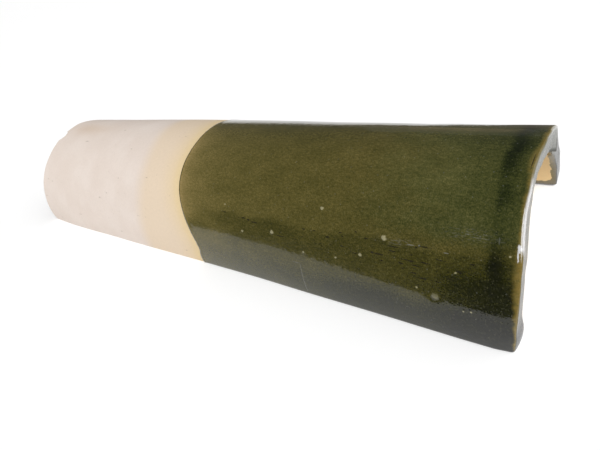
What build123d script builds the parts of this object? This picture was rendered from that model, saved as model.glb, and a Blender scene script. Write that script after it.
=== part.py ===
from build123d import *
import math
import os

# Barrel roof tile: a half-round clay tile, shaped, glazed and fired as one piece.
# It stands on its two long feet, hollow side down. +X runs from the bare tail, which the
# next tile up the roof laps over, to the glazed mouth. +Y runs across and +Z up.
# The origin lies on the standing plane, under the middle of the tile.

# Driving dimensions, in millimetres and degrees
LENGTH = 320.0  # tail to mouth
WIDTH = 97.0  # across the outside of the round, where it is widest
BELOW_WIDEST = 1.0  # how far the round runs on from its widest down to the feet
WALL = 10.0  # thickness of the clay
ARRIS_ROUND = 0.8  # outside edges, which are only just eased
INNER_ROUND = 0.6  # inside edges
CORNER_ROUND = 1.2  # the four corners where an end comes down to a foot
CHIP_SPAN = 10.0  # scoop knocked out of the tail's outside edge, measured along that edge
CHIP_LENGTH = 4.0  # how far the scoop reaches along the tile
CHIP_DEPTH = 3.5  # how far the scoop reaches into the wall
CHIP_ANGLE = 79.5  # where the scoop is, from the -Y side (0) over the crown (90)

OUTER_RADIUS = WIDTH / 2
INNER_RADIUS = OUTER_RADIUS - WALL
HEIGHT = BELOW_WIDEST + OUTER_RADIUS
TAIL_X = -LENGTH / 2
MOUTH_X = LENGTH / 2
SAME_PLACE = 0.001  # places or radii closer than this count as one


def half_tube():
    """The part of a clay ring above the standing plane, drawn across the tile and run from tail to mouth."""
    ring = Pos(0, BELOW_WIDEST) * (Circle(OUTER_RADIUS) - Circle(INNER_RADIUS))
    above_the_feet = Rectangle(WIDTH, HEIGHT, align=(Align.CENTER, Align.MIN))
    return extrude(Plane.YZ.offset(TAIL_X) * (ring & above_the_feet), LENGTH)


def round_corners(tile):
    """Rounds the tile, seen from the side, where each end comes down to a foot."""
    bottom_edges = tile.edges().group_by(Axis.Z)[0]
    return fillet(bottom_edges.filter_by(Axis.Y), CORNER_ROUND)


def round_wall_edges(tile, wall_radius, edge_round):
    """Rounds every edge of the wall face with that radius: both ends, both feet and the corners between."""
    round_faces = tile.faces().filter_by(GeomType.CYLINDER)
    wall = [face for face in round_faces if abs(face.radius - wall_radius) < SAME_PLACE]
    return fillet([edge for face in wall for edge in face.edges()], edge_round)


def chip():
    """The ball whose scoop in the tail's outside edge has the stated span, length and depth."""
    half_span = CHIP_SPAN / 2
    clear_of_end = (half_span**2 - CHIP_LENGTH**2) / (2 * CHIP_LENGTH)
    clear_of_wall = (half_span**2 - CHIP_DEPTH**2) / (2 * CHIP_DEPTH)
    ball_radius = math.sqrt(half_span**2 + clear_of_end**2 + clear_of_wall**2)
    from_axis = OUTER_RADIUS + clear_of_wall
    angle = math.radians(CHIP_ANGLE)
    centre = Pos(
        TAIL_X - clear_of_end,
        -from_axis * math.cos(angle),
        BELOW_WIDEST + from_axis * math.sin(angle),
    )
    return centre * Sphere(ball_radius)


def barrel_tile():
    tile = round_corners(half_tube())
    tile = round_wall_edges(tile, OUTER_RADIUS, ARRIS_ROUND)
    tile = round_wall_edges(tile, INNER_RADIUS, INNER_ROUND)
    return tile - chip()


os.makedirs("parts", exist_ok=True)
export_step(barrel_tile(), "parts/barrel_tile.step")
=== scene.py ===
import math

import bpy
import numpy as np
from mathutils import Matrix, Vector


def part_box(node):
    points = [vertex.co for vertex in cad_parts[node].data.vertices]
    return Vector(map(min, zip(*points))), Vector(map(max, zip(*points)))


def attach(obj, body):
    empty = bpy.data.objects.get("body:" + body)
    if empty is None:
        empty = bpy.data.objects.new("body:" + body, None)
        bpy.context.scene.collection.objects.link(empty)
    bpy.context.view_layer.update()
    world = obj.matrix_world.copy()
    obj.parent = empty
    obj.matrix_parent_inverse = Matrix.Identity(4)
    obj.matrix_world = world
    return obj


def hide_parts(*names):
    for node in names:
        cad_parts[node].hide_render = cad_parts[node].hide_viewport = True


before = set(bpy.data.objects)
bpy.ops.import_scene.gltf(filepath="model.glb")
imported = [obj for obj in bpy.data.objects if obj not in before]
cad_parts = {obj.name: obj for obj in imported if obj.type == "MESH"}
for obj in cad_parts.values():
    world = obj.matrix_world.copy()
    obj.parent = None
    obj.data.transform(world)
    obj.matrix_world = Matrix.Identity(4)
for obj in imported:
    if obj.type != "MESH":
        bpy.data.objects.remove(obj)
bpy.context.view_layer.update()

# Lengths are in millimetres and angles in degrees, until a mesh, a light or the camera is made.
# A place on the tile is its distance along from the tail and its angle round from the -Y side (0)
# over the crown (90) to the +Y side (180).
# A fade is two places: nothing at the first and all at the second. A span is four: nothing before
# the first, all from the second to the third, and nothing after the fourth.
MM = 0.001

# The tile's sizes: its box as the frame has it, and its wall, edges and chip as the part has them
TILE_LOW, TILE_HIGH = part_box("barrel_tile")
LENGTH = (TILE_HIGH.x - TILE_LOW.x) / MM
OUTER_RADIUS = (TILE_HIGH.y - TILE_LOW.y) / 2 / MM
BELOW_WIDEST = (TILE_HIGH.z - TILE_LOW.z) / MM - OUTER_RADIUS  # from the round's widest to the feet
FOOT_TURN = math.asin(BELOW_WIDEST / OUTER_RADIUS)  # the same as a turn, in radians
GIRTH = OUTER_RADIUS * (math.pi + 2 * FOOT_TURN)  # over the outside, from foot to foot
WALL = 10.0
ARRIS_ROUND = 0.8  # outside edges
INNER_ROUND = 0.6  # inside edges
CORNER_ROUND = 1.2  # where an end comes down to a foot
CHIP_ANGLE = 79.5
CHIP_SPAN = 10.0
CHIP_LENGTH = 4.0
CHIP_DEPTH = 3.5
CHIP_ROUGHNESS = 0.06  # how far its broken face wanders, as a share of its ball's radius
CHIP_GRAIN = 2.2  # size of that wandering

# The mesh, in runs of (end, spacing): close where the glaze shows its marks and wide elsewhere
RUNS_ALONG = [(9, 0.6), (136, 2.0), (LENGTH - 4, 0.6), (LENGTH - ARRIS_ROUND, 0.35)]
RUNS_ACROSS = [(58, 0.6), (78, 0.75), (107, 1.5), (116, 0.6), (GIRTH - ARRIS_ROUND, 1.6)]
ROUND_STEPS = 4  # over an outside edge
SIDE_STEPS = 8  # down the feet and the ends
INNER_ROUND_STEPS = 3  # over an inside edge
INSIDE_SKIPS = (4, 3)  # the inside has each fourth station along and each third across
NOISE_GRID = 64  # soft noise repeats after so many swells

# How far the hand-made body stands off a true round, as (along, height)
FAR_SHOULDER = [
    (0, -1.2), (40, -0.9), (80, -0.45), (125, 0), (155, 0), (200, -0.35), (220, -0.75), (260, -0.8),
    (272, -0.95), (285, -0.75), (300, -0.85), (310, -0.8), (320, -0.7),
]
FAR_SHOULDER_SPAN = (97, 127, 150, 180)
NEAR_FOOT = [
    (0, 0.1), (28, 1.0), (50, 1.05), (75, 0.7), (108, 0.6), (146, 0.1), (180, -0.3), (206, -0.45),
    (232, -0.2), (270, -0.15), (304, 0.1), (320, 0),
]
NEAR_FOOT_FADE = (26, 3)
SWELLS = [(0.08, 46, 1), (0.06, 17, 2)]  # soft swells and hollows, as (height, size, seed)
FOOT_FADE = (0, 14)  # from a foot to where the swells and the far shoulder are whole
FAR_FOOT_LIFT = 0.85  # how far the far foot stands off the floor at the mouth
LIFT_ROUND_FADE = (140, 178)
LIFT_ALONG_FADE = (150, 285)

# How far the ends stand out from true, as (angle, length): the mouth's end leans between its two edges
TAIL_END = [
    (-2, -0.3), (10, 0.1), (30, 0), (48, -0.6), (58, -1.1), (66, -0.9), (80, 0), (90, 0.6), (97, 2.0),
    (106, 2.1), (116, 1.6), (140, 0.6), (182, 0),
]
MOUTH_OUTER = [
    (-2, -1.6), (2, -1.1), (6, -0.7), (11, -0.3), (17, 0.1), (25, 0.5), (34, 0.85), (42, 0.7), (52, 0.3),
    (60, 0.2), (66, 0.45), (73, 0.5), (80, 0.7), (86, 1.15), (93, 1.7), (100, 2.05), (108, 2.2), (117, 2.2),
    (125, 1.7), (131, 1.25), (140, 0.7), (150, 0.1), (165, 0), (182, -0.5),
]
MOUTH_INNER = [
    (-2, -0.35), (3, -0.1), (10, -0.3), (20, -0.1), (30, 0.2), (40, 0.35), (50, 0.3), (60, 0), (70, -0.4),
    (80, -0.4), (90, -0.25), (100, 0.25), (110, 0.35), (116, 0.6), (122, 1.0), (130, 1.5), (131, 1.5),
    (133.5, 0.1), (135, 0.05), (165, 0), (182, -0.5),
]
END_FADE = (24, 0)  # from where the body starts to give way to an end
END_WOBBLE = 0.12  # the fine unevenness of both ends
END_WOBBLE_SIZE = 5
CORNER_DROP = 0.5  # the mouth's near corner is a little rounder than the rest of its edge
CORNER_ALONG_FADE = (7, 0)  # from the mouth
CORNER_ROUND_FADE = (36, 18)
FOOT_BULGE = 0.5  # and the end of its foot swells
FOOT_BULGE_FADE = (15, 3)

# Where the glaze starts, as (angle, along)
GLAZE_LINE = [
    (-2, 166.3), (5, 166.7), (11, 168), (15, 167.3), (22, 164.8), (32, 160.7), (42, 157), (50, 154.7),
    (60, 153.1), (80, 152.3), (95, 151), (110, 149), (130, 149.7), (150, 153), (165, 157), (182, 156),
]
GLAZE_STEP = 0.22  # height of the glaze over the bare clay
GLAZE_STEP_FADE = (-0.15, 0.9)  # past its line
GLAZE_BEAD = 0.12  # the extra swell of its edge
BEAD_MIDDLE = 1.0  # past its line
BEAD_WIDTH = 0.7
MOUTH_CREEP = 2.3  # how far the glaze runs over the mouth's edge to the inside
FOOT_CREEP = 2.5  # how far it runs over a foot's inner edge
CREEP_FADE = (FOOT_CREEP, 0.3)  # where the glaze inside turns milky

# How thick the glaze is, as a share of its usual thickness
THICKNESS_AT_LINE = 0.51
THICKENING = [(0.32, 8), (0.34, 55)]  # what it gains past its line, as (thickness, length)
COATS = [  # as (thickness, fades of the angle up from the nearer foot, fades along)
    (0.24, [(41, 36.5)], [(166, 200)]),  # a second coat along the feet
    (0.6, [(37, 26)], [(285, 312)]),  # which is thicker by the mouth
    (0.2, [(21, 10)], []),  # and low down
    (0.5, [(21, 10)], [(215, 275)]),
    (-0.07, [(58, 72)], [(225, 262), (305, 290)]),  # a thin place over the crown
    (0.06, [(58, 48), (38, 43)], [(250, 275), (306, 296)]),
]
COAT_WAVE = 1.4  # how far the coats' edges wave, in degrees
COAT_WAVE_SIZE = 13
FAR_COAT = 0.1
FAR_COAT_FADE = (75, 105)
LINE_COAT_FADE = (22, 3)  # past the line, where it is thicker low on both sides and on the far side
LOW_LINE_COAT = 0.34
LOW_LINE_FADE = (36, 26)
FAR_LINE_COAT = 0.14
FAR_LINE_FADE = (84, 98)
POOL = 0.08  # a pool behind the mouth's rim
POOL_WAVE = 0.15
POOL_WAVE_SIZE = 7
POOLS = [  # where it is deeper, as (angle, width, depth)
    (89, 8, 0.85), (78, 5, 0.4), (64, 6, 0.35), (37, 7, 1.0), (106, 7, 0.5), (120, 9, 0.6), (150, 8, 0.7),
]
POOL_MIDDLE = 8.0  # from the mouth
POOL_WANDER = 0.8
POOL_WANDER_SIZE = 4
POOL_WIDTHS = (1.6, 3.2)  # towards the tail and towards the mouth
MOUTH_COAT = 0.12
MOUTH_COAT_FADE = (26, 8)  # from the mouth
RIM = [  # where the glaze has run thin along the mouth's edge, as (angle, width)
    (-2, 0.4), (8, 0.8), (20, 1.4), (36, 2.1), (48, 1.2), (62, 1.3), (72, 1.3), (82, 2.2), (92, 1.6),
    (120, 1.5), (150, 1.1), (182, 0.8),
]
RIM_WANDER = 0.3
RIM_WANDER_SIZE = 2.3
RIM_FADE = (1.6, 0.5)  # in shares of its width
RIM_DEPTH_FADE = (0.08, 0.03)  # in shares of the wall
RIM_THICKNESS = 0.85
INSIDE_THICKNESS = 0.72

# Bumps and dents in the glaze, as (along, angle, radius), and their heights for each millimetre of radius
BLISTERS = [
    (246, 49, 0.9), (221, 33, 1.1), (203, 30, 0.7), (238, 26, 0.7), (265, 31, 0.8), (254, 27, 0.6),
    (191, 43, 0.5), (274.5, 40.5, 1.3), (294, 20, 1.6), (287.5, 22, 0.5), (300.9, 31.8, 0.45),
    (303.5, 16, 0.45), (306, 16.5, 0.45), (316.4, 42, 0.5), (232, 128, 1.0), (268, 141, 1.2),
    (199, 152, 0.9), (290, 160, 1.6),
]
# Pits, which the material also darkens with painted shade
PITS = [
    (250, 36, 0.7), (270, 33, 0.7), (302, 32.4, 0.9), (257, 37.5, 0.4), (226, 135, 0.8), (281, 149, 0.8),
]
HOLLOWS = [(294, 20.6, 4.0)]
BLISTER_RISE = 0.25
PIT_SINK = 0.6
HOLLOW_SINK = 0.055
WIDE_BLISTER = 1.5  # blisters of a larger radius than this are less pale

# Marks and clouds that the material draws, as (along, angle, half length, half width), and scuffs with
# their strength too. A cloud's half width is in degrees.
# Scuffs, of which the two at 319.0 and 318.6 along, on the mouth's rim, are painted highlights
SCUFFS_AND_GLINTS = [
    (313.2, 47.2, 0.2, 1.2, 0.08), (313.8, 46.6, 0.9, 0.1, 0.06), (319.0, 45.2, 0.7, 1.2, 1.0),
    (318.6, 42.3, 0.22, 1.8, 0.9), (285, 39.6, 1.2, 0.15, 0.2), (279.5, 40.2, 1.6, 0.1, 0.12),
    (297.5, 38.9, 1.0, 0.15, 0.16), (308, 46.8, 2.6, 0.1, 0.1), (288, 39.9, 0.5, 0.3, 0.2),
]
HAZES = [(281, 39.8, 7, 1.5), (305, 47.5, 8, 2.2)]  # clouds of finer scuffs
# Cracks, which the material darkens with painted shade
CRACKS = [
    (191, 38.7, 1.2, 0.22), (203.5, 37.3, 1.8, 0.25), (206.7, 36.8, 0.8, 0.4), (210.5, 36.1, 1.8, 0.29),
    (226, 31.7, 2.6, 0.22), (238.2, 37.6, 0.8, 0.25), (243.4, 37.8, 0.8, 0.22), (255.8, 39.3, 0.7, 0.25),
    (257, 33.2, 0.9, 0.22), (262.7, 31.2, 1.2, 0.25), (262.7, 40.8, 0.6, 0.25), (267.4, 38.8, 0.9, 0.22),
    (272.6, 33.1, 2.2, 0.4), (278.3, 35.5, 1.5, 0.27), (278.3, 37.5, 2.2, 0.22), (290, 39.7, 2.4, 0.25),
    (287, 39, 0.6, 0.36), (284.5, 33, 2.6, 0.22), (290.5, 33.2, 1.8, 0.22), (287, 31.3, 1.7, 0.22),
    (300, 29.8, 1.0, 0.27), (286.5, 28, 1.4, 0.25), (289.5, 26.5, 1.3, 0.32), (295, 26.5, 1.2, 0.22),
    (299.5, 28.7, 1.4, 0.22), (281.5, 31, 1.2, 0.25), (296, 35.6, 1.5, 0.18), (274, 30.5, 0.9, 0.27),
    (306, 36.5, 0.8, 0.22), (318.7, 81.3, 0.2, 4), (246, 143, 2.2, 0.29), (259, 147, 1.8, 0.25),
    (280, 144, 2.0, 0.27),
]
CRACKED = [  # clouds of shorter ones
    (284, 33, 17, 5.5), (206, 37.3, 9, 1.6), (243, 33, 22, 2.5), (255, 146, 40, 5),
]
RUNS_OF_GLAZE = [(235.6, 10.5, 0.22, 8.0), (233.4, 19.4, 1.9, 0.2)]  # a thin run down to the near foot
CLAY_PITS = [
    (41, 75, 1.9, 0.5), (72.3, 90.3, 1.2, 0.4), (14.3, 37.1, 0.6, 0.4), (7.9, 38.6, 0.6, 0.4),
    (48.8, 13.8, 1.8, 0.2), (15.8, 4.7, 1.4, 0.35), (78, 31.8, 0.9, 0.4), (86, 36.2, 0.5, 0.4),
    (95, 7.8, 1.2, 0.35), (97, 48.2, 0.6, 0.3), (98, 71.3, 0.8, 0.3), (118.6, 24.6, 0.7, 0.2),
    (125, 51.4, 0.9, 0.3), (155.8, 6.2, 0.8, 0.4), (139, 86, 0.9, 0.2), (126.2, 24.8, 0.6, 0.2),
    (3.3, 23.3, 1.4, 0.3), (60, 140, 1.4, 0.4),
]
STAIN = (29, 90, 25, 8)  # a brown cloud on the tail's crown
MARK_FADE = (2.2, 1.2)  # of a mark's strength, by the distance beyond its edge
MARK_GAP = 4.6  # marks nearer to each other than this, over twice the field's reach, are in different layers

# The rest of the finish
OUTSIDE_TO = 0.5  # shares of the wall's depth at which the outside ends and the inside starts
INSIDE_FROM = 0.97
HALO_LINE = [  # where the warm flashing before the glaze starts, as (angle, along)
    (-2, 121), (7, 121), (19, 121.5), (36, 121.5), (53, 121), (71, 118.5), (92, 114), (112, 111),
    (140, 116), (182, 120),
]
GREEN = 0.85  # how much greener the glaze is high up near the mouth
GREEN_ALONG_FADE = (230, 312)
GREEN_UP_FADE = (36, 52)
SEAM_SHADE_SPAN = (112, 131)  # angles between which the mouth's end stands proud, with a line of painted shade round it
SHADE_INNER_FADE = (8.8, 9.4)  # depths at which that line starts along the inner edge
SHADE_SIDE_FADE = (0.5, 1.5)  # and down the far side
END_SHOULDER_SPAN = (42, 46, 68, 76)  # the near shoulder of the mouth's end, with a brown stripe and a stripe of painted highlight
HIGHLIGHT_STRIPE = (-0.15, 0.45, 1.8, 2.6)  # spans of depth of its two stripes: this one of painted highlight, the next one brown
BROWN_STRIPE = (2.4, 3.0, 3.6, 4.4)
DULL_ARRIS_SPAN = (70, 76, 96, 104)  # where the mouth's outside edge is dull
DULL_ALONG_FADE = (LENGTH - 1.4, LENGTH - 0.5)
DULL_DEPTH_FADE = (2.0, 0.8)
MILKY_INSIDE = 0.5
# On the mouth's end this milky cast is partly a painted reflection of the pale floor
END_MILK_AND_REFLECTION = 0.25


def smooth(low, high, x):
    """0 below low, 1 above high and an even S between them. It falls where low is above high."""
    share = np.clip((x - low) / (high - low), 0, 1)
    return share * share * (3 - 2 * share)


def plateau(x, start, full, fade, end):
    """1 from full to fade, 0 before start and after end, and an even S between them."""
    return smooth(start, full, x) * smooth(end, fade, x)


def bell(x, middle, width):
    """1 in the middle, falling to about a third at that width and on to 0."""
    return np.exp(-(((x - middle) / width) ** 2))


def soft_noise(u, v, size, seed):
    """Even random swells from -1 to 1 over the plane, each about size across."""
    heights = np.random.default_rng(seed).uniform(-1, 1, (NOISE_GRID, NOISE_GRID))
    row = np.floor(u / size).astype(int)
    column = np.floor(v / size).astype(int)
    past_row = smooth(0, 1, u / size - row)
    past_column = smooth(0, 1, v / size - column)

    def corner(rows_on, columns_on):
        return heights[(row + rows_on) % NOISE_GRID, (column + columns_on) % NOISE_GRID]

    near = corner(0, 0) * (1 - past_row) + corner(1, 0) * past_row
    far = corner(0, 1) * (1 - past_row) + corner(1, 1) * past_row
    return near * (1 - past_column) + far * past_column


def soft_line(x, size, seed):
    """The same along a line."""
    return soft_noise(x, np.zeros(x.shape), size, seed)


def curve(points, x):
    """A smooth curve through points given as (x, height)."""
    places, heights = np.array(points, float).T
    slopes = np.gradient(heights, places)
    before = np.clip(np.searchsorted(places, x) - 1, 0, len(places) - 2)
    after = before + 1
    span = places[after] - places[before]
    share = np.clip((x - places[before]) / span, 0, 1)
    rest = 1 - share
    level = heights[before] * (1 + 2 * share) * rest**2 + heights[after] * share**2 * (3 - 2 * share)
    return level + span * (slopes[before] * share * rest**2 - slopes[after] * share**2 * rest)


def stations(length, runs):
    """Places over a length: close over its two rounded edges, and in (end, spacing) runs between them."""
    edge = ARRIS_ROUND * (1 - np.sin(np.linspace(math.pi / 2, 0, ROUND_STEPS + 1)))
    parts = [edge[:-1]]
    start = ARRIS_ROUND
    for end, spacing in runs:
        parts.append(np.linspace(start, end, round((end - start) / spacing), endpoint=False))
        start = end
    return np.concatenate([*parts, length - edge[::-1]])


def rounded_outline(along, across):
    """Pulls points near the four corners of the unrolled tile inwards, so that its outline is round there."""
    clear_along = np.clip(along, CORNER_ROUND, LENGTH - CORNER_ROUND)
    clear_across = np.clip(across, CORNER_ROUND, GIRTH - CORNER_ROUND)
    over_along = along - clear_along
    over_across = across - clear_across
    square = np.maximum(abs(over_along), abs(over_across))
    straight = np.hypot(over_along, over_across)
    pull = np.divide(square, straight, out=np.ones_like(straight), where=straight > 0)
    return clear_along + over_along * pull, clear_across + over_across * pull


def drawn_in(x, length, inset):
    """Places along a length, drawn in so that its ends come in by that inset and no two places meet."""
    from_end = np.minimum(x, length - x)
    share = np.clip(1 - from_end / CORNER_ROUND, 0, 1)
    return x + np.where(x < length / 2, inset, -inset) * share


class Skin:
    """The closed skin of the tile as points (along, across, depth below the outside) and faces."""

    def __init__(self):
        self.stations_along = stations(LENGTH, RUNS_ALONG)
        self.stations_across = stations(GIRTH, RUNS_ACROSS)
        self.shape = len(self.stations_along), len(self.stations_across)
        self.points = []
        self.count = 0
        self.faces = []
        loop = self.round_the_edge(self.outside())
        first_inside = len(self.faces)
        self.inside(loop)
        self.inside_faces = np.arange(len(self.faces)) >= first_inside
        self.along, self.across, self.depth = np.concatenate(self.points, axis=1)

    def add(self, along, across, depth):
        """Adds points and returns their numbers."""
        along, across, depth = np.broadcast_arrays(along, across, depth)
        self.points.append(np.stack([along.ravel(), across.ravel(), depth.ravel()]))
        numbers = self.count + np.arange(along.size)
        self.count += along.size
        return numbers.reshape(along.shape)

    def outside(self):
        """The outside with its rounded edges. It returns the numbers of its points, by row and column."""
        along, across = np.meshgrid(self.stations_along, self.stations_across, indexing="ij")
        to_edge = np.minimum.reduce([along, LENGTH - along, across, GIRTH - across])
        over = np.clip(ARRIS_ROUND - to_edge, 0, None)
        lattice = self.add(along, across, ARRIS_ROUND - np.sqrt(ARRIS_ROUND**2 - over**2))
        corners = [lattice[:-1, :-1], lattice[1:, :-1], lattice[1:, 1:], lattice[:-1, 1:]]
        self.faces += np.stack(corners, axis=-1).reshape(-1, 4).tolist()
        return lattice

    def edge_loop(self):
        """The rows and columns of the lattice's edge, once round."""
        rows, columns = self.shape
        near = [(row, 0) for row in range(rows - 1)]
        mouth = [(rows - 1, column) for column in range(columns - 1)]
        far = [(row, columns - 1) for row in range(rows - 1, 0, -1)]
        tail = [(0, column) for column in range(columns - 1, 0, -1)]
        return tuple(np.array(near + mouth + far + tail).T)

    def round_the_edge(self, lattice):
        """The feet and the ends, from the outside's edge down and over the inner rounding."""
        row, column = self.edge_loop()
        along = self.stations_along[row]
        across = self.stations_across[column]
        rings = [(0, depth) for depth in np.linspace(ARRIS_ROUND, WALL - INNER_ROUND, SIDE_STEPS + 1)[1:]]
        for turn in np.linspace(0, math.pi / 2, INNER_ROUND_STEPS + 1)[1:]:
            rings.append((INNER_ROUND * (1 - math.cos(turn)), WALL - INNER_ROUND * (1 - math.sin(turn))))
        upper = lattice[row, column]
        for inset, depth in rings:
            lower = self.add(drawn_in(along, LENGTH, inset), drawn_in(across, GIRTH, inset), depth)
            quads = np.stack([np.roll(upper, -1), upper, lower, np.roll(lower, -1)], axis=-1)
            self.faces += quads.tolist()
            upper = lower
        return upper

    def inside(self, loop):
        """The inside, on fewer stations, with fans of triangles where they meet the edge's points."""
        rows, columns = [
            np.unique(np.r_[np.arange(0, count - skip, skip), count - 1])
            for count, skip in zip(self.shape, INSIDE_SKIPS)
        ]
        clear_rows = rows[1:-1]
        clear_columns = columns[1:-1]
        along, across = np.meshgrid(
            self.stations_along[clear_rows], self.stations_across[clear_columns], indexing="ij"
        )
        lattice = np.full(self.shape, -1)
        lattice[self.edge_loop()] = loop
        first_clear = self.count
        lattice[np.ix_(clear_rows, clear_columns)] = self.add(along, across, WALL)
        for row, next_row in zip(rows[:-1], rows[1:]):
            for column, next_column in zip(columns[:-1], columns[1:]):
                corners = [(row, column), (row, next_column), (next_row, next_column), (next_row, column)]
                face = []
                for start, end in zip(corners, corners[1:] + corners[:1]):
                    face += self.side(lattice, start, end)
                if len(face) == 4:
                    self.faces.append(face)
                    continue
                apex = next(place for place, point in enumerate(face) if point >= first_clear)
                tip, *rest = face[apex:] + face[:apex]
                self.faces += [[tip, one, other] for one, other in zip(rest[:-1], rest[1:])]

    def side(self, lattice, start, end):
        """A face's points from one corner up to the next, with all those of the edge where it lies there."""
        last_row, last_column = self.shape[0] - 1, self.shape[1] - 1
        row, column = start
        rows_on, columns_on = end[0] - row, end[1] - column
        if rows_on == 0 and row in (0, last_row):
            return lattice[row, range(column, end[1], 1 if columns_on > 0 else -1)].tolist()
        if columns_on == 0 and column in (0, last_column):
            return lattice[range(row, end[0], 1 if rows_on > 0 else -1), column].tolist()
        return [int(lattice[row, column])]


def mark_gap(one, other):
    """The clear distance between two marks."""
    along = abs(one[0] - other[0]) - one[2] - other[2]
    around = math.radians(abs(one[1] - other[1])) * OUTER_RADIUS - one[3] - other[3]
    return math.hypot(max(along, 0), max(around, 0))


def layers_of(marks):
    """The marks sorted into layers, so that those of one layer are clear of each other."""
    layers = []
    for mark in marks:
        for layer in layers:
            if all(mark_gap(mark, other) > MARK_GAP for other in layer):
                layer.append(mark)
                break
        else:
            layers.append([mark])
    return layers


# The marks that the material draws, in layers, each as (along, angle, half length, half width, strength)
MARKS = {
    "pale_mark": layers_of(
        [(at, turn, r * 0.8, r * 0.7, 0.4 if r > WIDE_BLISTER else 1.0) for at, turn, r in BLISTERS]
    ),
    "dark_mark": layers_of(
        [(at, turn, r, r * 0.6, 1.0) for at, turn, r in PITS] + [(*crack, 1.0) for crack in CRACKS]
    ),
    "scuff_mark": layers_of(SCUFFS_AND_GLINTS),
    "ridge_mark": layers_of([(*run, 1.0) for run in RUNS_OF_GLAZE]),
    "clay_mark": layers_of([(*pit, 1.0) for pit in CLAY_PITS]),
}


def marks_field(along, angle, marks):
    """Each point's place beside its nearest mark, in shares of the mark's half length and half width, and the
    mark's strength."""
    nearest = np.full(along.shape, np.inf)
    field = np.zeros((len(along), 3), np.float32)
    for at, turn, half_length, half_width, strength in marks:
        off_along = along - at
        off_around = np.radians(angle - turn) * OUTER_RADIUS
        gap = np.hypot(
            np.maximum(abs(off_along) - half_length, 0), np.maximum(abs(off_around) - half_width, 0)
        )
        beside = [off_along / half_length, off_around / half_width, strength * smooth(*MARK_FADE, gap)]
        nearer = gap < nearest
        field[nearer] = np.stack(beside, axis=-1)[nearer]
        nearest = np.minimum(nearest, gap)
    return field


def clouds_field(along, angle, clouds):
    """1 in the middle of the nearest cloud, falling to 0 outside. A cloud's half width is in degrees."""
    field = np.zeros(along.shape)
    for at, turn, half_length, half_width in clouds:
        field = np.maximum(field, bell(along, at, half_length) * bell(angle, turn, half_width))
    return field


def bumps(along, angle, places, height):
    """Round bumps of that height for each millimetre of radius."""
    rise = np.zeros(along.shape)
    for at, turn, radius in places:
        gap = np.hypot(along - at, np.radians(angle - turn) * OUTER_RADIUS) / radius
        rise += height * radius * np.clip(1 - gap * gap, 0, None) ** 1.5
    return rise


def body_rise(along, across, angle):
    """How far the hand-made body stands off a true round."""
    rise = curve(FAR_SHOULDER, along) * plateau(angle, *FAR_SHOULDER_SPAN)
    for height, size, seed in SWELLS:
        rise += height * soft_noise(along, across, size, seed)
    rise *= smooth(*FOOT_FADE, np.minimum(across, GIRTH - across))
    return rise + curve(NEAR_FOOT, along) * smooth(*NEAR_FOOT_FADE, angle)


def outside_rise(along, angle, past):
    """What the outside alone adds: the glaze's step, bead, bumps and dents, less the rounder near corner."""
    rise = GLAZE_STEP * smooth(*GLAZE_STEP_FADE, past) + GLAZE_BEAD * bell(past, BEAD_MIDDLE, BEAD_WIDTH)
    rise += bumps(along, angle, BLISTERS, BLISTER_RISE)
    rise -= bumps(along, angle, PITS, PIT_SINK)
    rise -= bumps(along, angle, HOLLOWS, HOLLOW_SINK)
    corner = smooth(*CORNER_ALONG_FADE, LENGTH - along) * smooth(*CORNER_ROUND_FADE, angle)
    return rise - CORNER_DROP * corner


def end_wander(along, across, angle, share):
    """How far points near the ends are moved along, because the ends aren't true."""
    mouth = curve(MOUTH_OUTER, angle) * (1 - share) + curve(MOUTH_INNER, angle) * share
    mouth += 4 * share * (1 - share) * FOOT_BULGE * smooth(*FOOT_BULGE_FADE, angle)
    wander = mouth * smooth(*END_FADE, LENGTH - along)
    wander -= curve(TAIL_END, angle) * smooth(*END_FADE, along)
    wobble = END_WOBBLE * soft_noise(across, along, END_WOBBLE_SIZE, seed=6)
    return wander + wobble * smooth(*END_FADE, np.minimum(along, LENGTH - along))


def knock_chip(place):
    """Scoops the chip out of the tail's outside edge: points inside its ball move out to the ball's face."""
    half_span = CHIP_SPAN / 2
    clear_of_end = (half_span**2 - CHIP_LENGTH**2) / (2 * CHIP_LENGTH)
    clear_of_wall = (half_span**2 - CHIP_DEPTH**2) / (2 * CHIP_DEPTH)
    ball_radius = math.sqrt(half_span**2 + clear_of_end**2 + clear_of_wall**2)
    from_axis = OUTER_RADIUS + clear_of_wall
    turn = math.radians(CHIP_ANGLE)
    centre = np.array([
        -LENGTH / 2 - clear_of_end,
        -from_axis * math.cos(turn),
        BELOW_WIDEST + from_axis * math.sin(turn),
    ])
    away = place - centre
    gap = np.linalg.norm(away, axis=1)
    x, y, z = place.T
    broken = ball_radius * (1 + CHIP_ROUGHNESS * soft_noise(y, z + x, CHIP_GRAIN, seed=4))
    return centre + away * (np.maximum(gap, broken) / gap)[:, None]


def rim_share(along, angle, share):
    """1 where the glaze has run thin along the mouth's edge, and 0 elsewhere."""
    from_mouth = LENGTH - along + RIM_WANDER * soft_line(angle, RIM_WANDER_SIZE, seed=9)
    return smooth(*RIM_FADE, from_mouth / curve(RIM, angle)) * smooth(*RIM_DEPTH_FADE, share)


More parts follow.
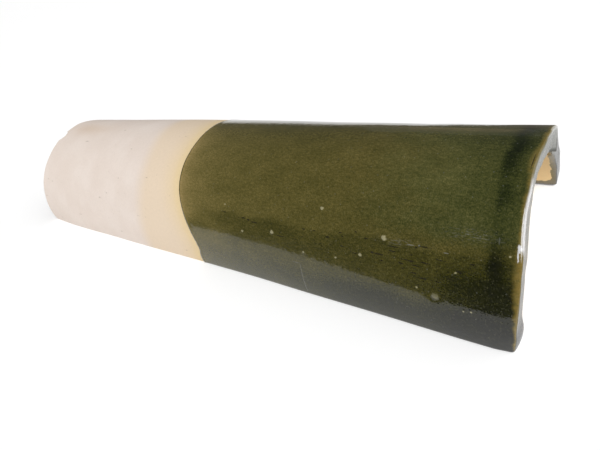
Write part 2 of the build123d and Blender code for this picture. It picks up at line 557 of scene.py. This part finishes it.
def glaze_thickness(along, angle, past, rim):
    """How thick the glaze is on the outside, as a share of its usual thickness."""
    into = np.clip(past, 0, None)
    thick = np.full(along.shape, THICKNESS_AT_LINE)
    for gain, length in THICKENING:
        thick += gain * (1 - np.exp(-into / length))
    up = np.minimum(angle, 180 - angle) + COAT_WAVE * soft_line(along, COAT_WAVE_SIZE, seed=7)
    for coat, fades_up, fades_along in COATS:
        for fade in fades_up:
            coat = coat * smooth(*fade, up)
        for fade in fades_along:
            coat = coat * smooth(*fade, along)
        thick += coat
    thick += FAR_COAT * smooth(*FAR_COAT_FADE, angle)
    low_line = LOW_LINE_COAT * smooth(*LOW_LINE_FADE, up)
    far_line = FAR_LINE_COAT * smooth(*FAR_LINE_FADE, angle)
    thick += (low_line + far_line) * smooth(*LINE_COAT_FADE, into)

    pool = POOL + POOL_WAVE * soft_line(angle, POOL_WAVE_SIZE, seed=5)
    for turn, width, depth in POOLS:
        pool += depth * bell(angle, turn, width)
    from_mouth = LENGTH - along
    from_pool = from_mouth - POOL_MIDDLE + POOL_WANDER * soft_line(angle, POOL_WANDER_SIZE, seed=8)
    thick += pool * bell(from_pool, 0, np.where(from_pool > 0, *POOL_WIDTHS))
    thick += MOUTH_COAT * smooth(*MOUTH_COAT_FADE, from_mouth)
    return thick * (1 - rim) + RIM_THICKNESS * rim


def seam_shade_line(along, angle, depth):
    """1 along the line of painted shade round the proud part of the mouth's end: its inner edge and its far
    side.
    """
    first, last = SEAM_SHADE_SPAN
    inner_edge = smooth(*SHADE_INNER_FADE, depth) * plateau(angle, first - 2, first + 2, last, last + 1)
    far_side = smooth(*SHADE_SIDE_FADE, depth) * plateau(angle, last - 4, last - 2.5, last, last + 1.5)
    return np.maximum(inner_edge, far_side) * (along > LENGTH - 2 * INNER_ROUND)


def finish_numbers(along, across, angle, depth, past):
    """What the material needs to know of each point, by name."""
    share = depth / WALL
    inside = share > INSIDE_FROM
    outside = share < OUTSIDE_TO
    from_foot = np.minimum(across, GIRTH - across)
    creep = np.minimum(LENGTH - along - (MOUTH_CREEP - FOOT_CREEP), from_foot)
    end = smooth(ARRIS_ROUND, 2 * ARRIS_ROUND, depth)
    rim = rim_share(along, angle, share)
    # The near shoulder of the mouth's end, with a brown stripe and a stripe of painted highlight
    end_shoulder = plateau(angle, *END_SHOULDER_SPAN) * (along > LENGTH - ARRIS_ROUND)
    dull = smooth(*DULL_ALONG_FADE, along) * smooth(*DULL_DEPTH_FADE, depth)
    high = smooth(*GREEN_UP_FADE, np.minimum(angle, 180 - angle))
    return {
        "along": along,
        "around": across,
        "depth": depth,
        "glaze": np.where(inside, np.minimum(FOOT_CREEP - creep, past), past),
        "halo": along - curve(HALO_LINE, angle),
        "green": GREEN * smooth(*GREEN_ALONG_FADE, along) * high,
        "thickness": np.where(inside, INSIDE_THICKNESS, glaze_thickness(along, angle, past, rim)),
        # A milky cast: real on the inside, and on the mouth's end partly a painted reflection
        "milky": np.where(inside, MILKY_INSIDE * smooth(*CREEP_FADE, creep), END_MILK_AND_REFLECTION * end),
        "end": np.where(inside, 0, end),
        "rim": rim,
        "arris": dull * plateau(angle, *DULL_ARRIS_SPAN),
        # A line of painted shade round the proud part of the mouth's end
        "seam": seam_shade_line(along, angle, depth),
        "cracked": clouds_field(along, angle, CRACKED) * outside,
        "haze": clouds_field(along, angle, HAZES) * outside,
        "stain": clouds_field(along, angle, [STAIN]) * outside,
        # A stripe of painted highlight on the end's near shoulder
        "bright_end": end_shoulder * plateau(depth, *HIGHLIGHT_STRIPE),
        "brown_end": end_shoulder * plateau(depth, *BROWN_STRIPE),
    }


def lay_out(mesh, skin):
    """Unrolls the skin onto a map: the outside with the edges round it, and the inside below."""
    map_side = LENGTH + 4 * WALL
    left = 2 * WALL
    outside_top = 1.5 * WALL
    inside_top = 4 * WALL + GIRTH
    beyond = np.where(skin.depth > ARRIS_ROUND, skin.depth, 0)

    def pushed_out(x, length):
        """Places along a length, where those on its ends are pushed out by their depth."""
        return x + np.where(x <= INNER_ROUND, -beyond, np.where(x >= length - INNER_ROUND, beyond, 0))

    outside = np.stack(
        [left + pushed_out(skin.along, LENGTH), outside_top + pushed_out(skin.across, GIRTH)], axis=-1
    )
    inside = np.stack(
        [left + skin.along, inside_top + skin.across * (1 - WALL / OUTER_RADIUS)], axis=-1
    )
    corners = np.empty(len(mesh.loops), int)
    mesh.loops.foreach_get("vertex_index", corners)
    sizes = np.empty(len(mesh.polygons), int)
    mesh.polygons.foreach_get("loop_total", sizes)
    is_inside = np.repeat(skin.inside_faces, sizes)
    spots = np.where(is_inside[:, None], inside[corners], outside[corners]) / map_side
    mesh.uv_layers.new(name="OFBake").data.foreach_set("uv", spots.astype(np.float32).ravel())


def new_object(name, data):
    """An object of that name in the scene, made of that mesh, light or camera."""
    made = bpy.data.objects.new(name, data)
    bpy.context.scene.collection.objects.link(made)
    return made


def build_tile():
    """The tile as one closed mesh, with what its material needs to know of each point."""
    skin = Skin()
    along, across = rounded_outline(skin.along, skin.across)
    angle = np.degrees(across / OUTER_RADIUS - FOOT_TURN)
    share = skin.depth / WALL  # 0 on the outside, 1 on the inside
    past = along - curve(GLAZE_LINE, angle)

    rise = body_rise(along, across, angle) + (1 - share) * outside_rise(along, angle, past)
    lift = FAR_FOOT_LIFT * smooth(*LIFT_ROUND_FADE, angle) * smooth(*LIFT_ALONG_FADE, along)
    radius = OUTER_RADIUS - skin.depth + rise
    lowest = -np.arcsin(BELOW_WIDEST / radius)
    turn = lowest + across / GIRTH * (math.pi - 2 * lowest)
    x = along - LENGTH / 2 + end_wander(along, across, angle, share)
    y = -radius * np.cos(turn)
    z = BELOW_WIDEST + radius * np.sin(turn) + lift
    place = knock_chip(np.stack([x, y, z], axis=-1))

    mesh = bpy.data.meshes.new("glazed_tile")
    mesh.from_pydata(place * MM, [], skin.faces)
    mesh.polygons.foreach_set("use_smooth", np.ones(len(mesh.polygons), bool))
    lay_out(mesh, skin)
    for name, values in finish_numbers(along, across, angle, skin.depth, past).items():
        layer = mesh.attributes.new(name, "FLOAT", "POINT")
        layer.data.foreach_set("value", values.astype(np.float32))
    on_outside = (share < OUTSIDE_TO)[:, None]
    for name, layers in MARKS.items():
        for number, marks in enumerate(layers):
            layer = mesh.attributes.new(f"{name}_{number}", "FLOAT_VECTOR", "POINT")
            field = marks_field(along, angle, marks) * on_outside
            layer.data.foreach_set("vector", field.astype(np.float32).ravel())
    return new_object("glazed_tile", mesh)


class Paint:
    """A material's nodes, added by short calls. An input is a number, a colour or another node's output."""

    def __init__(self, name):
        self.material = bpy.data.materials.new(name)
        self.material.use_nodes = True
        self.nodes = self.material.node_tree.nodes
        self.links = self.material.node_tree.links
        self.shader = self.nodes["Principled BSDF"]

    def put(self, socket, value):
        if isinstance(value, bpy.types.NodeSocket):
            self.links.new(value, socket)
        elif hasattr(socket.default_value, "__len__") and len(socket.default_value) == 4 and len(value) == 3:
            socket.default_value = (*value, 1)
        else:
            socket.default_value = value

    def node(self, kind, inputs=(), **settings):
        made = self.nodes.new(kind)
        for key, value in settings.items():
            setattr(made, key, value)
        for key, value in dict(inputs).items():
            self.put(made.inputs[key], value)
        return made

    def math(self, operation, a, b=0.0, c=0.0):
        return self.node("ShaderNodeMath", {0: a, 1: b, 2: c}, operation=operation).outputs[0]

    def times(self, a, b):
        return self.math("MULTIPLY", a, b)

    def most(self, a, b):
        return self.math("MAXIMUM", a, b)

    def plus(self, base, extra, amount):
        """The base, with that amount of the extra added."""
        return self.math("MULTIPLY_ADD", extra, amount, base)

    def number(self, name):
        """A number that the mesh has for each point."""
        return self.node("ShaderNodeAttribute", attribute_name=name).outputs["Fac"]

    def step(self, x, low, high, to_low=0.0, to_high=1.0):
        """An even S from to_low, where x is low, to to_high, where x is high."""
        inputs = {"Value": x, "From Min": low, "From Max": high, "To Min": to_low, "To Max": to_high}
        return self.node("ShaderNodeMapRange", inputs, interpolation_type="SMOOTHSTEP").outputs["Result"]

    def between(self, share, a, b):
        """The number that lies that share of the way from a to b."""
        return self.node("ShaderNodeMix", {0: share, 2: a, 3: b}).outputs[0]

    def mix(self, share, a, b, blend="MIX"):
        """The same for colours, or another blend of them."""
        made = self.node("ShaderNodeMix", data_type="RGBA", blend_type=blend)
        for socket, value in zip((made.inputs[0], made.inputs[6], made.inputs[7]), (share, a, b)):
            self.put(socket, value)
        return made.outputs[2]

    def over(self, base, colour, share, strength):
        """The base colour under that share and strength of another."""
        return self.mix(self.times(share, strength), base, colour)

    def colour(self, channels):
        return self.node("ShaderNodeCombineColor", dict(enumerate(channels))).outputs[0]

    def spot(self, size, stretch, shift):
        """A place on the unrolled tile (along, around, depth) in shares of size millimetres."""
        depth = self.number("depth")
        past_edge = self.math("ADD", self.number("along"), depth)
        made = self.node("ShaderNodeCombineXYZ", {0: past_edge, 1: self.number("around"), 2: depth})
        scale = [1 / (size * length) for length in stretch]
        inputs = {"Vector": made.outputs[0], "Scale": scale, "Location": (shift,) * 3}
        return self.node("ShaderNodeMapping", inputs).outputs[0]

    def noise(self, size, detail=2.0, stretch=(1, 1, 1), shift=0.0):
        """Noise from -0.5 to 0.5, with features about size millimetres across. Shifts keep noises apart."""
        inputs = {"Vector": self.spot(size, stretch, shift), "Scale": 1.0, "Detail": detail, "Roughness": 0.6}
        return self.math("SUBTRACT", self.node("ShaderNodeTexNoise", inputs).outputs["Fac"], 0.5)

    def specks(self, size, radius, share, stretch=(1, 1, 1), shift=0.0):
        """Specks of about that radius, about size apart, of which only a share is drawn."""
        inputs = {"Vector": self.spot(size, stretch, shift), "Scale": 1.0}
        cells = self.node("ShaderNodeTexVoronoi", inputs, voronoi_dimensions="2D").outputs
        chance = self.node("ShaderNodeSeparateColor", {0: cells["Color"]}).outputs[0]
        drawn = self.math("LESS_THAN", chance, share)
        return self.times(self.step(cells["Distance"], radius / size, 0.4 * radius / size), drawn)

    def marks(self, name, wobble):
        """The strength of a mark of that name inside it, and 0 outside. Its edge wobbles by that share."""
        drawn = 0.0
        for number in range(len(MARKS[name])):
            drawn = self.most(self.mark_layer(f"{name}_{number}", wobble), drawn)
        return drawn

    def mark_layer(self, name, wobble):
        place = self.node("ShaderNodeAttribute", attribute_name=name).outputs["Vector"]
        x, y, strength = self.node("ShaderNodeSeparateXYZ", {0: place}).outputs
        x = self.plus(x, self.noise(1.0, detail=3.0, shift=4.0), wobble)
        y = self.plus(y, self.noise(1.3, detail=3.0), wobble)
        wobbly = self.node("ShaderNodeCombineXYZ", {0: x, 1: y}).outputs[0]
        from_middle = self.node("ShaderNodeVectorMath", {0: wobbly}, operation="LENGTH").outputs["Value"]
        return self.times(self.step(from_middle, 1.3, 0.6), strength)


CLAY = (0.638, 0.551, 0.489)
CLAY_PALE = (0.668, 0.588, 0.53)
CLAY_WARM = (0.645, 0.52, 0.38)
CLAY_OCHRE = (0.635, 0.485, 0.245)
CLAY_INSIDE = (0.62, 0.44, 0.22)
CLAY_STAIN = (0.50, 0.34, 0.20)
CLAY_PIT = (0.24, 0.19, 0.15)
UNDER_GLAZE = (0.71, 0.456, 0.294)
BROWN_PASSES = (0.121, 0.156, 0.060)  # what the usual thickness of glaze leaves of the light
GREEN_PASSES = (0.103, 0.157, 0.070)
# Pale and bluish: milky glaze inside, and on the mouth's end partly a painted reflection
MILK_AND_REFLECTION = (0.115, 0.116, 0.13)
HONEY = (0.165, 0.108, 0.022)
BROWN_END = (0.10, 0.082, 0.07)
# Painted highlight on the near shoulder of the mouth's end
END_HIGHLIGHT = (0.52, 0.52, 0.53)
BLISTER = (0.36, 0.33, 0.20)
# Near black: painted shade in the glaze's pits and cracks and along the line round the mouth's proud end
CRACK_AND_PIT_SHADE = (0.010, 0.009, 0.005)
# Pale scuffs, and the painted highlights on the mouth's rim
SCUFF_AND_GLINT = (0.66, 0.67, 0.69)
FLECK = (0.22, 0.21, 0.12)
DUST = (0.5, 0.46, 0.33)
DUST_FADE = (17.6, 16.0)  # round from the near foot, in millimetres
GLAZE_IOR = 1.52


def bare_clay(paint, past, inside, pits):
    """Colour of the bare clay: clouds, warm flashing before the glaze and inside, a stain and small pits."""
    clouds = paint.noise(26.0, detail=3.0)
    clay = paint.mix(paint.step(clouds, -0.15, 0.2), CLAY, CLAY_PALE)
    flashing = paint.plus(paint.number("halo"), clouds, 5.0)
    clay = paint.mix(paint.step(flashing, -8, 6, 0.0, 0.85), clay, CLAY_WARM)
    clay = paint.mix(paint.step(past, -20, 1, 0.0, 0.5), clay, CLAY_OCHRE)
    clay = paint.mix(paint.step(past, -8, 0, 0.0, 0.5), clay, CLAY_OCHRE)
    clay = paint.over(clay, CLAY_STAIN, paint.number("stain"), 0.34)
    clay = paint.over(clay, CLAY_INSIDE, inside, 0.9)
    mottle = paint.plus(1.0, paint.noise(1.5, detail=4.0), 0.14)
    clay = paint.mix(1.0, clay, paint.colour([mottle] * 3), "MULTIPLY")
    return paint.over(clay, CLAY_PIT, pits, 0.36)


def clear_glaze(paint, past, inside):
    """Colour of the glaze: clay seen through a thickness that varies."""
    grain = paint.times(paint.noise(0.45, stretch=(1, 1.3, 1)), 0.9)
    grain = paint.plus(grain, paint.noise(1.1, stretch=(1.4, 1, 1), shift=8.0), 0.6)
    grain = paint.plus(grain, paint.noise(7.0, detail=4.0, stretch=(1.6, 1, 1)), 0.42)
    edge_line = paint.times(paint.step(past, 1.1, 0.4, 0.0, 0.9), paint.step(inside, 1, 0))
    thick = paint.plus(edge_line, paint.math("ADD", grain, 1.0), paint.number("thickness"))
    greener = paint.plus(paint.number("green"), paint.noise(11.0, detail=3.0, shift=6.0), 0.7)
    passes = paint.mix(paint.step(greener, 0.1, 0.9), BROWN_PASSES, GREEN_PASSES)
    channels = paint.node("ShaderNodeSeparateColor", {0: passes}).outputs
    passed = paint.colour([paint.math("POWER", channel, thick) for channel in channels])
    return paint.mix(1.0, passed, UNDER_GLAZE, "MULTIPLY")


def marked_glaze(paint, glaze, run):
    """The glaze with flecks, dust above the near foot, blisters, a thin rim, scuffs, painted highlights on
    the mouth's rim and a run.
    """
    glaze = paint.over(glaze, FLECK, paint.specks(1.5, 0.22, 0.3, stretch=(1, 1.4, 1)), 0.15)
    glaze = paint.mix(paint.step(paint.noise(0.9, shift=12.0), 0.02, 0.3, 0.0, 0.1), glaze, FLECK)
    dust = paint.step(paint.noise(0.7, detail=3.0, shift=14.0), -0.05, 0.25, 0.0, 0.05)
    glaze = paint.over(glaze, DUST, dust, paint.step(paint.number("around"), *DUST_FADE))
    glaze = paint.over(glaze, BLISTER, paint.marks("pale_mark", 2.2), 0.62)
    patchy = paint.step(paint.noise(1.3, detail=3.0, shift=13.0), -0.25, 0.25, 0.1, 0.7)
    glaze = paint.over(glaze, HONEY, paint.number("rim"), patchy)
    glaze = paint.over(glaze, SCUFF_AND_GLINT, paint.specks(4.1, 0.3, 0.2, shift=9.0), 0.07)
    scratches = paint.step(paint.noise(0.7, stretch=(2.5, 0.6, 1), shift=7.0), 0.0, 0.2)
    haze = paint.times(paint.times(scratches, paint.number("haze")), 0.13)
    # Scuffs, with painted highlights on the mouth's rim
    glaze = paint.over(glaze, SCUFF_AND_GLINT, paint.most(haze, paint.marks("scuff_mark", 2.4)), 0.8)
    return paint.over(glaze, SCUFF_AND_GLINT, run, 0.06)


def mouth_end(paint, glaze, streaks):
    """The glaze with a pale cast on the mouth's end and inside, on the end partly a painted reflection, and
    two stripes on the end's near shoulder: a brown one and one of painted highlight.
    """
    # A milky cast, on the end partly a painted reflection
    glaze = paint.over(glaze, MILK_AND_REFLECTION, paint.number("milky"), streaks)
    glaze = paint.over(glaze, BROWN_END, paint.number("brown_end"), streaks)
    # A stripe of painted highlight
    return paint.over(glaze, END_HIGHLIGHT, paint.number("bright_end"), streaks)


def cracked_glaze(paint, glaze):
    """The glaze with painted shade in its pits and cracks, in short dashes among them and along the line
    round the proud part of the mouth's end.
    """
    dashes = paint.specks(2.4, 0.45, 0.4, stretch=(1.8, 0.4, 1), shift=3.0)
    ragged_cloud = paint.math("ADD", paint.number("cracked"), paint.noise(6.0))
    dashes = paint.times(dashes, paint.step(ragged_cloud, 0.45, 0.7))
    cracks = paint.most(paint.marks("dark_mark", 2.2), dashes)
    # and a line of painted shade round the proud part of the mouth's end
    cracks = paint.most(cracks, paint.times(paint.number("seam"), 0.8))
    # All of it near black as painted shade
    return paint.over(glaze, CRACK_AND_PIT_SHADE, cracks, 0.78)


def roughness(paint, glazed, streaks):
    """Matt clay, and gloss on the glaze, which is duller in the mouth's end, along its painted shade line and
    on its edge.
    """
    gloss = paint.step(paint.noise(6.0, detail=3.0, shift=2.0), -0.2, 0.25, 0.02, 0.06)
    gloss = paint.plus(gloss, paint.number("milky"), 0.3)
    gloss = paint.plus(gloss, paint.times(paint.number("end"), streaks), 0.16)
    gloss = paint.plus(gloss, paint.most(paint.number("seam"), paint.number("arris")), 0.3)
    matt = paint.plus(0.88, paint.noise(1.2), 0.1)
    return paint.between(glazed, matt, gloss)


def fine_relief(paint, glazed, pits, run):
    """Height of what is finer than the mesh, in millimetres: sandy clay, orange peel, pinholes and a run."""
    sandy = paint.times(paint.noise(0.8, detail=4.0), 0.07)
    sandy = paint.plus(sandy, pits, -0.2)
    peel = paint.times(paint.noise(1.2, detail=3.0), 0.02)
    peel = paint.plus(peel, paint.noise(5.5), 0.05)
    peel = paint.plus(peel, paint.noise(2.8, shift=15.0), 0.06)
    peel = paint.plus(peel, paint.specks(1.2, 0.28, 0.5, stretch=(1.3, 1, 1), shift=11.0), -0.012)
    peel = paint.plus(peel, run, 0.09)
    return paint.between(glazed, sandy, peel)


def fired_tile():
    """Bare clay on the tail and inside and olive glaze on the rest, from one set of nodes."""
    paint = Paint("fired_tile")
    inside = paint.step(paint.number("depth"), 0.8 * WALL, 0.95 * WALL)
    ragged = paint.times(paint.noise(3.5, detail=3.0), paint.step(inside, 0, 1, 0.9, 2.6))
    past = paint.math("ADD", paint.number("glaze"), ragged)
    glazed = paint.step(past, -0.12, 0.12)
    streaks = paint.plus(1.0, paint.noise(2.2, detail=3.0, stretch=(2, 1, 0.6), shift=5.0), 1.4)
    pits = paint.most(paint.marks("clay_mark", 0.8), paint.specks(7.0, 0.32, 0.22))
    run = paint.marks("ridge_mark", 0.6)

    clay = bare_clay(paint, past, inside, pits)
    glaze = marked_glaze(paint, clear_glaze(paint, past, inside), run)
    glaze = cracked_glaze(paint, mouth_end(paint, glaze, streaks))
    height = fine_relief(paint, glazed, pits, run)
    bump = paint.node("ShaderNodeBump", {"Height": height, "Strength": 1.0, "Distance": MM})
    paint.put(paint.shader.inputs["Base Color"], paint.mix(glazed, clay, glaze))
    paint.put(paint.shader.inputs["Roughness"], roughness(paint, glazed, streaks))
    paint.put(paint.shader.inputs["IOR"], GLAZE_IOR)
    paint.put(paint.shader.inputs["Normal"], bump.outputs[0])
    return paint.material


FLOOR_HALF = 80_000.0  # so that it fills the picture
FLOOR_COLOUR = (0.96, 0.96, 0.96)
FLOOR_ROUGHNESS = 0.9

# Dark cards for the glaze to mirror: one stands in front of the tile, one stands far behind it and one
# lies behind its mouth. Only gloss sees them.
NEAR_CARD = [
    (260, -45), (215, -66), (178, -86), (150, -90), (125, -95), (100, -105), (70, -120), (20, -160),
    (-40, -212), (-110, -280), (-240, -380), (-450, -560), (-1400, -1310),
]
NEAR_CARD_HEIGHT = 60
NEAR_CARD_COLOUR = (0.25, 0.25, 0.25)
WALL_LEFT, WALL_RIGHT, WALL_TOP = -520, 0, 420
WALL_DISTANCE = 1109
WALL_LEFT_FADE = (WALL_LEFT, -180)  # from the card's edges to where it is brown
WALL_RIGHT_FADE = (WALL_RIGHT, -90)
WALL_TOP_FADE = (WALL_TOP, 20)
WALL_GREY = (0.14, 0.14, 0.14)
WALL_BROWN = (0.3, 0.235, 0.175)
FAR_CARD = [
    (158, 75), (140, 85), (104, 150), (0, 262), (-213, 480), (-640, 780), (-1021, 1109), (-3000, 2600),
    (-3000, 9000), (158, 9000),
]
FAR_CARD_HEIGHT = 1
FAR_CARD_COLOUR = (0.12, 0.105, 0.085)


def stage_piece(name, points, faces, paint, only_gloss_sees=False):
    """A floor or card with that paint, which isn't part of the tile."""
    mesh = bpy.data.meshes.new(name)
    mesh.from_pydata([Vector(point) * MM for point in points], [], faces)
    mesh.materials.append(paint.material)
    made = new_object(name, mesh)
    if only_gloss_sees:
        made.visible_camera = False
        made.visible_diffuse = False
        made.visible_shadow = False
        made.visible_transmission = False


def flat_paint(name, colour, rough):
    paint = Paint(name)
    paint.put(paint.shader.inputs["Base Color"], colour)
    paint.put(paint.shader.inputs["Roughness"], rough)
    return paint


def floor():
    half = FLOOR_HALF
    corners = [(-half, -half, 0), (half, -half, 0), (half, half, 0), (-half, half, 0)]
    stage_piece("floor", corners, [range(4)], flat_paint("pale_floor", FLOOR_COLOUR, FLOOR_ROUGHNESS))


def dark_card(points, faces, paint):
    """A card that only gloss sees, with the name of its paint."""
    stage_piece(paint.material.name, points, faces, paint, only_gloss_sees=True)


def wall_paint():
    """Brown low in the middle of the wall card, and as grey as the air round it towards its edges."""
    paint = flat_paint("wall_card", WALL_GREY, 1.0)
    place = paint.node("ShaderNodeNewGeometry").outputs["Position"]
    x, _, z = paint.node("ShaderNodeSeparateXYZ", {0: place}).outputs
    brown = 1.0
    for axis, (edge, full) in ((z, WALL_TOP_FADE), (x, WALL_LEFT_FADE), (x, WALL_RIGHT_FADE)):
        brown = paint.times(paint.step(axis, edge * MM, full * MM), brown)
    paint.put(paint.shader.inputs["Base Color"], paint.mix(brown, WALL_GREY, WALL_BROWN))
    return paint


def dark_cards():
    count = len(NEAR_CARD)
    standing = [(x, y, z) for z in (0, NEAR_CARD_HEIGHT) for x, y in NEAR_CARD]
    strips = [(left, left + 1, count + left + 1, count + left) for left in range(count - 1)]
    dark_card(standing, strips, flat_paint("near_card", NEAR_CARD_COLOUR, 1.0))
    ground = [(x, WALL_DISTANCE, 0) for x in (WALL_LEFT, WALL_RIGHT)]
    top = [(x, WALL_DISTANCE, WALL_TOP) for x in (WALL_RIGHT, WALL_LEFT)]
    dark_card(ground + top, [range(4)], wall_paint())
    lying = [(x, y, FAR_CARD_HEIGHT) for x, y in FAR_CARD]
    dark_card(lying, [range(len(lying))], flat_paint("far_card", FAR_CARD_COLOUR, 1.0))


LIGHTS = {  # as (direction that it comes from, degrees that it looks across, strength)
    "key": ((0.5, -0.48, 0.72), 40, 3.5),
    "fill": ((0.75, 0.35, 0.56), 60, 1.1),
}
SKY_LIGHT = 0.1  # how bright the sky is to all but the camera
SKY_SEEN = 0.95  # and to the camera


def soft_lights():
    for name, (comes_from, across, strength) in LIGHTS.items():
        light = bpy.data.lights.new(name, "SUN")
        light.angle = math.radians(across)
        light.energy = strength
        made = new_object(name, light)
        made.rotation_mode = "QUATERNION"
        made.rotation_quaternion = Vector(comes_from).to_track_quat("Z", "Y")


def sky():
    world = bpy.data.worlds.new("studio")
    bpy.context.scene.world = world
    world.use_nodes = True
    nodes = world.node_tree.nodes
    links = world.node_tree.links
    background = nodes["Background"].inputs
    background["Color"].default_value = (1, 1, 1, 1)
    path = nodes.new("ShaderNodeLightPath")
    strength = nodes.new("ShaderNodeMapRange")
    strength.inputs["To Min"].default_value = SKY_LIGHT
    strength.inputs["To Max"].default_value = SKY_SEEN
    links.new(path.outputs["Is Camera Ray"], strength.inputs["Value"])
    links.new(strength.outputs["Result"], background["Strength"])


# The camera, as the picture's perspective gives it. Its lens and the picture's middle are in pixels.
EYE = (183.7, -133.6, 145.6)
AZIMUTH, ELEVATION, ROLL = 43.41, 31.53, -21.43
FOCAL_PIXELS = 437.0
PICTURE_WIDTH, PICTURE_HEIGHT = 600, 450
MIDDLE_X, MIDDLE_Y = 308.0, 165.2
SENSOR = 36.0
NEAREST_SEEN, FARTHEST_SEEN = 10, 500_000


def camera():
    data = bpy.data.cameras.new("camera")
    made = new_object("camera", data)
    azimuth = math.radians(AZIMUTH)
    elevation = math.radians(ELEVATION)
    forward = Vector((-math.sin(azimuth), math.cos(azimuth), 0))
    back = Vector((0, 0, math.sin(elevation))) - forward * math.cos(elevation)
    level = Vector((math.cos(azimuth), math.sin(azimuth), 0))
    right = Matrix.Rotation(math.radians(ROLL), 3, back) @ level
    turn = Matrix((right, back.cross(right), back)).transposed()
    made.matrix_world = Matrix.Translation(Vector(EYE) * MM) @ turn.to_4x4()
    data.sensor_width = SENSOR
    data.lens = FOCAL_PIXELS * SENSOR / PICTURE_WIDTH
    data.shift_x = (PICTURE_WIDTH / 2 - MIDDLE_X) / PICTURE_WIDTH
    data.shift_y = (MIDDLE_Y - PICTURE_HEIGHT / 2) / PICTURE_WIDTH
    data.clip_start = NEAREST_SEEN * MM
    data.clip_end = FARTHEST_SEEN * MM
    bpy.context.scene.camera = made


tile = build_tile()
tile.data.materials.append(fired_tile())
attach(tile, "root")
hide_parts("barrel_tile")

floor()
dark_cards()
soft_lights()
sky()
camera()
bpy.context.scene.view_settings.view_transform = "Standard"
